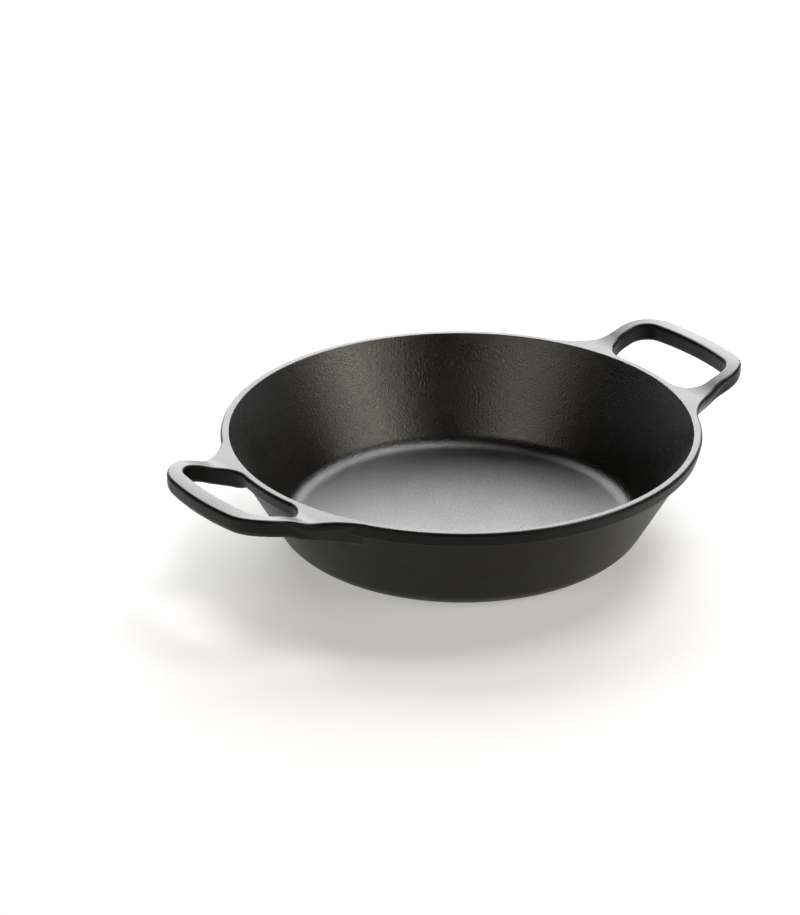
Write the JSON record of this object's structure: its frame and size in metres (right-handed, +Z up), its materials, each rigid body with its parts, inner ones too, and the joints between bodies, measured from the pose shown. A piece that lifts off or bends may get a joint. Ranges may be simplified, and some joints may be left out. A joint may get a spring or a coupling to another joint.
{
  "type": "two-handled cast iron pan",
  "caption": "Round cast iron pan with a flared bowl, a thick rim band and a loop handle on each side, for frying, baking and serving.",
  "frame": {"origin": "centre of the flat foot, on the surface that the pan stands on", "axes": "+Z up along the axis of the bowl, +X from the left handle to the right handle, +Y across the handles"},
  "size_m": [0.2754, 0.207, 0.0545],
  "materials": {
    "floor_iron": "seasoned, satin, fine sand-cast grain",
    "wall_iron": "seasoned, satin, sand-cast grain",
    "rim_iron": "seasoned, satin, smoother from grinding",
    "handle_iron": "seasoned, satin, fine sand-cast grain"
  },
  "bodies": {
    "root": {"floor_disc": "floor_iron", "side_wall": "wall_iron", "rim_band": "rim_iron", "left_handle": "handle_iron", "right_handle": "handle_iron"}
  },
  "joints": []
}
